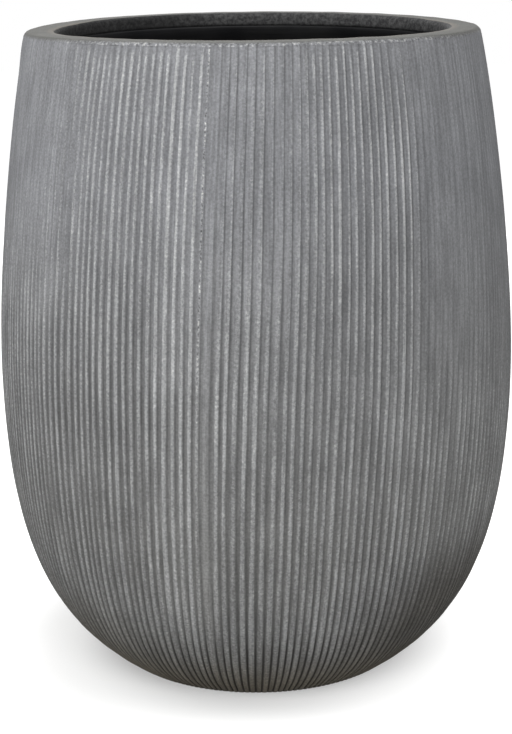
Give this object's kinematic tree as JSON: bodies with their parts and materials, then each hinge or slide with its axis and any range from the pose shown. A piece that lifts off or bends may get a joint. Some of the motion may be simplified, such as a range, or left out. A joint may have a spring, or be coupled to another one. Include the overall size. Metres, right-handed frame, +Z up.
{
  "type": "tall round planter",
  "caption": "Tall round ribbed planter with a bellied wall, a plain flat lip, a dark lined inside and a lift-out drain plug in its bottom.",
  "frame": {"origin": "on the floor under the middle of the pot, at the underside of the pads", "axes": "+Z up the axis of the pot, -Y towards the picture's viewer"},
  "size_m": [0.46, 0.46, 0.572],
  "materials": {
    "shell_fibre_clay": "matte, combed ribs with pale worn crests",
    "lip_fibre_clay": "matte, smoothed by hand",
    "lining_black": "matte, brushed on",
    "bush_plastic": "satin, moulded",
    "plug_rubber": "matte, moulded",
    "pad_rubber": "matte, moulded"
  },
  "bodies": {
    "pot": {"ribbed_shell": "shell_fibre_clay", "rim_ring": "lip_fibre_clay", "inner_lining": "lining_black", "drain_bush": "bush_plastic", "floor_pad_1": "pad_rubber", "floor_pad_2": "pad_rubber", "floor_pad_3": "pad_rubber"},
    "plug": {"drain_plug": "plug_rubber"}
  },
  "joints": [
    {"name": "plug_lift", "type": "slide", "parent": "pot", "child": "plug", "axis": [0, 0, 1], "range_m": [0, 0.06]}
  ]
}
